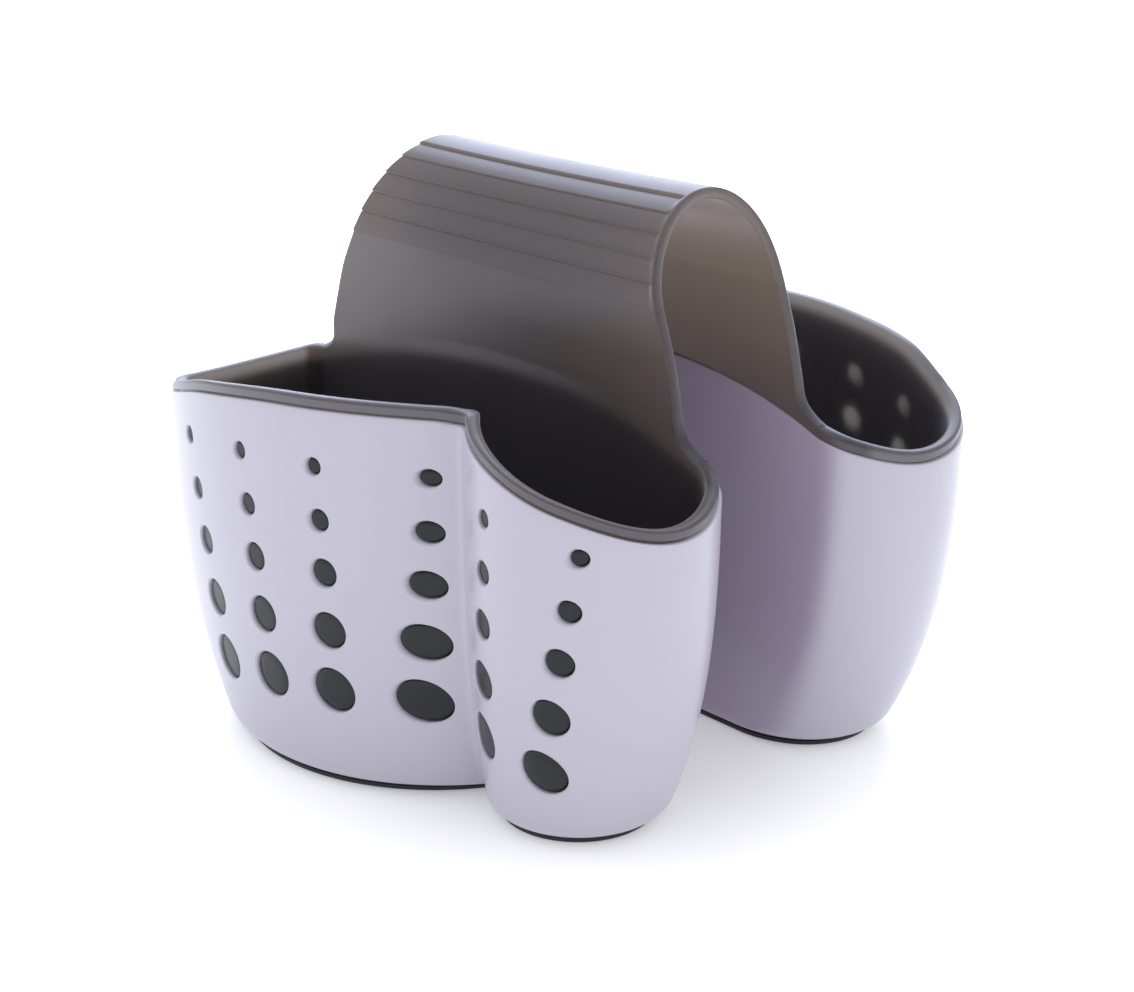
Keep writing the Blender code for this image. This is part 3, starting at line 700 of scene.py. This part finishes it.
def mapRange(material, value, before, after, interpolation="LINEAR"):
    # carries a value from one range to another and holds it at the ends
    node = material.node_tree.nodes.new("ShaderNodeMapRange")
    node.interpolation_type = interpolation
    for socket, limit in zip(("From Min", "From Max", "To Min", "To Max"), (*before, *after)):
        node.inputs[socket].default_value = limit
    material.node_tree.links.new(value, node.inputs["Value"])
    return node.outputs["Result"]


def colourRamp(material, value, *stops):
    # stops are places from 0 to 1 and their colours
    node = material.node_tree.nodes.new("ShaderNodeValToRGB")
    elements = node.color_ramp.elements
    for place, _ in stops[1:-1]:
        elements.new(place)
    for element, (place, colour) in zip(elements, stops):
        element.position = place
        element.color = (*colour, 1)
    material.node_tree.links.new(value, node.inputs["Fac"])
    return node.outputs["Color"]


def objectPlace(material):
    nodes, links = material.node_tree.nodes, material.node_tree.links
    split = nodes.new("ShaderNodeSeparateXYZ")
    links.new(nodes.new("ShaderNodeTexCoord").outputs["Object"], split.inputs["Vector"])
    return split.outputs


def awayFromDivider(material, place, reach):
    # 0 on the divider's side of the reach, 1 beyond it, on both pockets
    distance = material.node_tree.nodes.new("ShaderNodeMath")
    distance.operation = "ABSOLUTE"
    material.node_tree.links.new(place["Y"], distance.inputs[0])
    return mapRange(material, distance.outputs["Value"], reach, (0, 1))


def cloudyColour(material, look):
    # clouds a little darker and lighter than the colour
    dark = tuple(part * (1 - look["cloudSpread"]) for part in look["colour"])
    light = tuple(min(part * (1 + look["cloudSpread"]), 1) for part in look["colour"])
    cloud = addNoise(material, look["cloudScale"], look["noiseDetail"])
    return colourRamp(material, cloud, (noiseRange[0], dark), (noiseRange[1], light))


def varyRoughness(material, shader, look):
    patches = addNoise(material, look["patchScale"], look["noiseDetail"])
    roughness = mapRange(material, patches, noiseRange, look["roughness"])
    material.node_tree.links.new(roughness, shader.inputs["Roughness"])


def addGrain(material, shader, look):
    links = material.node_tree.links
    bump = material.node_tree.nodes.new("ShaderNodeBump")
    bump.inputs["Strength"].default_value = look["grainStrength"]
    bump.inputs["Distance"].default_value = look["grainDepth"]
    links.new(addNoise(material, look["grainScale"], look["noiseDetail"]), bump.inputs["Height"])
    links.new(bump.outputs["Normal"], shader.inputs["Normal"])


shellLook = {
    "colour": (0.437, 0.418, 0.486),
    "paintedDividerShade": (0.90, 0.82, 0.91),       # painted shade: darker and more purple where the pockets face each other
    "paintedShadeReach": (0.0181, 0.0205),         # the painted shade fades out between these distances from y = 0
    "cloudSpread": 0.015,
    "cloudScale": 22,
    "patchScale": 35,
    "roughness": (0.285, 0.325),
    "noiseDetail": 1,
    "grainScale": 260,
    "grainStrength": 0.04,
    "grainDepth": 0.00005,
    "refraction": 1.49,
    "coat": 0.15,
    "coatRoughness": 0.12,
}


# multiplies the colour by a painted shade, darker and more purple on the divider walls where the pockets
# face each other
def timesPaintedDividerShade(material, colour):
    nodes, links = material.node_tree.nodes, material.node_tree.links
    away = awayFromDivider(material, objectPlace(material), shellLook["paintedShadeReach"])
    shade = colourRamp(material, away, (0, shellLook["paintedDividerShade"]), (1, (1, 1, 1)))
    product = nodes.new("ShaderNodeMix")
    product.data_type = "RGBA"
    product.blend_type = "MULTIPLY"
    product.inputs[0].default_value = 1       # factor, then the two colours and their product
    links.new(colour, product.inputs[6])
    links.new(shade, product.inputs[7])
    return product.outputs[2]


def shellFinish():
    # glossy moulded plastic: faint clouds in colour and gloss, very fine ripple, and a painted shade on the
    # divider walls
    material, shader = newMaterial("shellPlastic")
    shader.inputs["IOR"].default_value = shellLook["refraction"]
    shader.inputs["Coat Weight"].default_value = shellLook["coat"]
    shader.inputs["Coat Roughness"].default_value = shellLook["coatRoughness"]
    colour = timesPaintedDividerShade(material, cloudyColour(material, shellLook))
    material.node_tree.links.new(colour, shader.inputs["Base Color"])
    varyRoughness(material, shader, shellLook)
    addGrain(material, shader, shellLook)
    return material


softLook = {
    "colour": (0.021, 0.0175, 0.0170),
    "strapGlow": (0.265, 0.210, 0.165),       # light that comes through
    "legGlow": (0.165, 0.130, 0.102),
    "cupGlow": (0.42, 0.40, 0.38),
    "wayOut": (0.44, 0.41, 0.38),             # what is left of it on its way out again
    "legHeights": (0.1180, 0.0920),           # the strap's glow turns into the leg's between these
    "cupReach": (0.0215, 0.0260),             # and the cup's sets in between these distances from y = 0
    "glows": True,
    "cloudSpread": 0.08,
    "cloudScale": 30,
    "patchScale": 60,
    "roughness": (0.29, 0.37),
    "noiseDetail": 1,
    "grainScale": 700,
    "grainStrength": 0.08,
    "grainDepth": 0.00005,
    "refraction": 1.43,
    "specular": 0.75,
    "specularTint": (0.72, 0.79, 1.0),
    "sheen": 0.36,
    "sheenRoughness": 0.4,
    "sheenTint": (0.62, 0.66, 0.90),
}

# painted shade: the plugs in the holes are the liner's silicone painted darker, and no light glows through
# their skin
plugLookPaintedShade = {
    **softLook, "colour": (0.006, 0.006, 0.007), "glows": False, "specular": 0.45,
    "specularTint": (0.92, 0.93, 0.96), "sheen": 0.04,
}


def glowThrough(material, look):
    # most light comes through the cups, less through the strap, least through the legs
    nodes, links = material.node_tree.nodes, material.node_tree.links
    place = objectPlace(material)
    stage = nodes.new("ShaderNodeMath")
    stage.operation = "MAXIMUM"
    links.new(awayFromDivider(material, place, look["cupReach"]), stage.inputs[0])
    links.new(mapRange(material, place["Z"], look["legHeights"], (0, 0.5)), stage.inputs[1])
    colour = colourRamp(material, stage.outputs["Value"],
                        (0, look["strapGlow"]), (0.5, look["legGlow"]), (1, look["cupGlow"]))
    glow = nodes.new("ShaderNodeBsdfTranslucent")
    links.new(colour, glow.inputs["Color"])
    return glow.outputs["BSDF"]


def siliconeFinish(name, look):
    # satin silicone: its skin on the front faces, and on the back faces the way out for the light inside
    material, shader = newMaterial(name)
    nodes, links = material.node_tree.nodes, material.node_tree.links
    shader.inputs["IOR"].default_value = look["refraction"]
    shader.inputs["Specular IOR Level"].default_value = look["specular"]
    shader.inputs["Specular Tint"].default_value = (*look["specularTint"], 1)
    shader.inputs["Sheen Weight"].default_value = look["sheen"]
    shader.inputs["Sheen Roughness"].default_value = look["sheenRoughness"]
    shader.inputs["Sheen Tint"].default_value = (*look["sheenTint"], 1)
    links.new(cloudyColour(material, look), shader.inputs["Base Color"])
    varyRoughness(material, shader, look)
    addGrain(material, shader, look)
    skin = nodes.new("ShaderNodeAddShader")
    links.new(shader.outputs["BSDF"], skin.inputs[0])
    if look["glows"]:
        links.new(glowThrough(material, look), skin.inputs[1])
    wayOut = nodes.new("ShaderNodeBsdfTransparent")
    wayOut.inputs["Color"].default_value = (*look["wayOut"], 1)
    surface = nodes.new("ShaderNodeMixShader")
    links.new(nodes.new("ShaderNodeNewGeometry").outputs["Backfacing"], surface.inputs["Fac"])
    links.new(skin.outputs["Shader"], surface.inputs[1])
    links.new(wayOut.outputs["BSDF"], surface.inputs[2])
    links.new(surface.outputs["Shader"], nodes["Material Output"].inputs["Surface"])
    return material


padLook = {
    # near-black: the rubber's own dark colour and painted shade from under the shell
    "colour": (0.012, 0.012, 0.022),
    "cloudSpread": 0.3,
    "cloudScale": 300,
    "roughness": 0.62,
    "noiseDetail": 3,
    "grainScale": 1400,
    "grainStrength": 0.35,
    "grainDepth": 0.0001,
}


def padRubberAndShadeFinish():
    # dark foam rubber with a fine grain; its near-black colour, darker than the silicone, is also painted
    # shade from the gap under the shell
    material, shader = newMaterial("padRubberPaintedShade")
    shader.inputs["Roughness"].default_value = padLook["roughness"]
    material.node_tree.links.new(cloudyColour(material, padLook), shader.inputs["Base Color"])
    addGrain(material, shader, padLook)
    return material


# Building

materials = {
    "shell": shellFinish(),
    "soft": siliconeFinish("greySilicone", softLook),
    "plug": siliconeFinish("plugSiliconePaintedShade", plugLookPaintedShade),
    "pad": padRubberAndShadeFinish(),
}

shell = {
    "outside": (52, 8),           # rows up its wall and round its floor
    "inside": (22, 4),
    "outsideDrop": 0.0005,        # the walls end this far under the top edge
    "insideDrop": 0.0004,
    # the rounding between them: ways down and ways in
    "topEdge": ((0.00022, 0.00006), (0.00006, 0.00022), (0.0, 0.0005), (0.0, 0.0013), (0.00012, 0.00168)),
    "sharpDegrees": 30,
}

# heights from the ground up and from the top down, each with its inset from the shell's floor outline
# and from its divider wall
pad = {
    "foot": ((0.0, 0.0029, 0.0014), (0.0001, 0.0025, 0.0011), (0.0004, 0.0023, 0.0010)),
    "head": ((0.0002, 0.0023, 0.0010), (0.0, 0.0026, 0.0012)),
    "sharpDegrees": 40,
}


def buildShell(side, mirrored):
    columns, wall = pockets[side], pocket["shellWall"]
    tops = columns["tops"] - rim["shellDrop"]
    outside = cupRows(columns, tops - shell["outsideDrop"], pocket["padHeight"],
                      pocket["floorRadius"], 0.0, *shell["outside"])
    inside = cupRows(columns, tops - shell["insideDrop"], pocket["padHeight"] + wall,
                     pocket["floorRadius"] - wall, wall, *shell["inside"])
    edge = [outlineRow(columns, tops - down, inset, inset) for down, inset in shell["topEdge"]]
    mesh = meshFromRows(side + "Shell", outside + edge + inside[::-1], mirrored)
    drills = meshAtHoles("drills", columns, drillProfile(), mirrored)
    mesh = booleanApplied(mesh, drills, "DIFFERENCE")
    piece = addPiece(side + "_shell_skin", mesh, materials["shell"], shell["sharpDegrees"])
    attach(piece, side + "_pocket")
    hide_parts(side + "_shell")


def buildLiner(side, mirrored):
    columns = pockets[side]
    cup = meshFromRows(side + "Liner", linerRows(columns), mirrored)
    plugs = meshAtHoles("plugs", columns, plugProfile(), mirrored)
    for mesh in (cup, plugs):
        mesh.materials.append(materials["soft"])
        mesh.materials.append(materials["plug"])
    plugs.polygons.foreach_set("material_index", [1] * len(plugs.polygons))
    mesh = legTopOpened(booleanApplied(cup, plugs, "UNION"))
    piece = addPiece(side + "_liner_skin", mesh, None, soft["sharpDegrees"])
    top, bottom = soft["bendHeights"]
    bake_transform(piece)
    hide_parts(side + "_liner")


def buildPad(side, mirrored):
    top = pocket["padHeight"] - pocket["gap"]
    rows = []
    profile = [*pad["foot"], *((top - down, *insets) for down, *insets in pad["head"])]
    for z, inset, dividerInset in profile:
        row = outlineRow(pockets[side], 0.0, inset, dividerInset)
        row[:, 2] = z
        rows.append(row)
    mesh = meshFromRows(side + "Pad", rows, mirrored)
    piece = addPiece(side + "_pad_skin", mesh, materials["pad"], pad["sharpDegrees"])
    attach(piece, side + "_pocket")
    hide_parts(side + "_base_pad")


def buildCrown():
    mesh = crownMesh()
    piece = addPiece("saddle_strap_skin", mesh, materials["soft"], soft["sharpDegrees"])
    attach(piece, "saddle")
    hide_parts("saddle_strap")


for side, mirrored in (("front", True), ("rear", False)):
    buildShell(side, mirrored)
    print(side, "shell drilled")
    buildLiner(side, mirrored)
    buildPad(side, mirrored)
    print(side, "liner and pad made")
buildCrown()
print("crown made")


# Stage, lights and camera

studio = {
    "lens": 67.97,                # millimetres, on a frame this wide
    "frameWidth": 36,
    "cameraAt": (0.3804, -0.3364, 0.2327),
    "turn": 48.6,                 # degrees from looking along +Y
    "tilt": 19.2,                 # degrees down
    "floorSize": 40.0,
    "floorDrop": 0.0002,          # under the pads
    "floorColour": (0.78, 0.78, 0.80),
    "floorRoughness": 0.45,
    "glowReach": (0.05, 0.17),    # the floor's painted glow grows to plain white between these distances, fainter near the object
    "glowStrength": (0.28, 0.80),
    "airColour": (0.95, 0.955, 1.0),
    "airStrength": 0.82,
    "lightsAimAt": (0, 0, 0.06),
    "lights": (
        # name, place, size, watts, colour
        ("overhead", (-0.10, -0.10, 1.20), 1.20, 4.0, (0.78, 0.85, 1.0)),
        ("leftWindow", (-0.90, -0.80, 0.60), 0.90, 1.0, (1.0, 1.0, 1.0)),
        ("rightWindow", (1.05, 0.35, 0.55), 0.90, 1.2, (1.0, 1.0, 1.0)),
        ("backGlow", (-0.70, 0.70, 0.60), 1.00, 8.0, (0.72, 0.80, 1.0)),
    ),
}


def glowingFloorFinish():
    # pale floor with a painted glow, faint near the object and plain white away from it
    material, shader = newMaterial("paleFloorPaintedGlow")
    nodes, links = material.node_tree.nodes, material.node_tree.links
    shader.inputs["Base Color"].default_value = (*studio["floorColour"], 1)
    shader.inputs["Roughness"].default_value = studio["floorRoughness"]
    shader.inputs["Emission Color"].default_value = (1, 1, 1, 1)
    away = nodes.new("ShaderNodeVectorMath")
    away.operation = "LENGTH"
    links.new(nodes.new("ShaderNodeTexCoord").outputs["Object"], away.inputs[0])
    strength = mapRange(material, away.outputs["Value"], studio["glowReach"], studio["glowStrength"],
                        "SMOOTHSTEP")
    links.new(strength, shader.inputs["Emission Strength"])
    return material


def addFloor():
    mesh = bpy.data.meshes.new("floor")
    half, level = studio["floorSize"] / 2, -studio["floorDrop"]
    corners = [(x * half, y * half, level) for x, y in ((-1, -1), (1, -1), (1, 1), (-1, 1))]
    mesh.from_pydata(corners, [], [(0, 1, 2, 3)])
    mesh.materials.append(glowingFloorFinish())
    floor = bpy.data.objects.new("floor", mesh)
    bpy.context.scene.collection.objects.link(floor)
    floor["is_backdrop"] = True


def addLights():
    target = Vector(studio["lightsAimAt"])
    for name, place, size, watts, colour in studio["lights"]:
        light = bpy.data.lights.new(name, "AREA")
        light.shape, light.size, light.energy, light.color = "SQUARE", size, watts, colour
        lamp = bpy.data.objects.new(name, light)
        lamp.location = place
        lamp.rotation_euler = (target - Vector(place)).to_track_quat("-Z", "Y").to_euler()
        bpy.context.scene.collection.objects.link(lamp)
    world = bpy.data.worlds.new("studioAir")
    world.use_nodes = True
    air = world.node_tree.nodes["Background"]
    air.inputs["Color"].default_value = (*studio["airColour"], 1)
    air.inputs["Strength"].default_value = studio["airStrength"]
    bpy.context.scene.world = world


def addCamera():
    lens = bpy.data.cameras.new("camera")
    lens.lens, lens.sensor_width = studio["lens"], studio["frameWidth"]
    camera = bpy.data.objects.new("camera", lens)
    camera.location = studio["cameraAt"]
    camera.rotation_euler = (math.radians(90 - studio["tilt"]), 0, math.radians(studio["turn"]))
    bpy.context.scene.collection.objects.link(camera)
    bpy.context.scene.camera = camera


addFloor()
addLights()
addCamera()
bpy.context.scene.view_settings.view_transform = "Standard"
print("stage, lights and camera set")

boxes = {"cad": cadBox, "visual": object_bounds()}
{name: [list(corner) for corner in box] for name, box in boxes.items()}
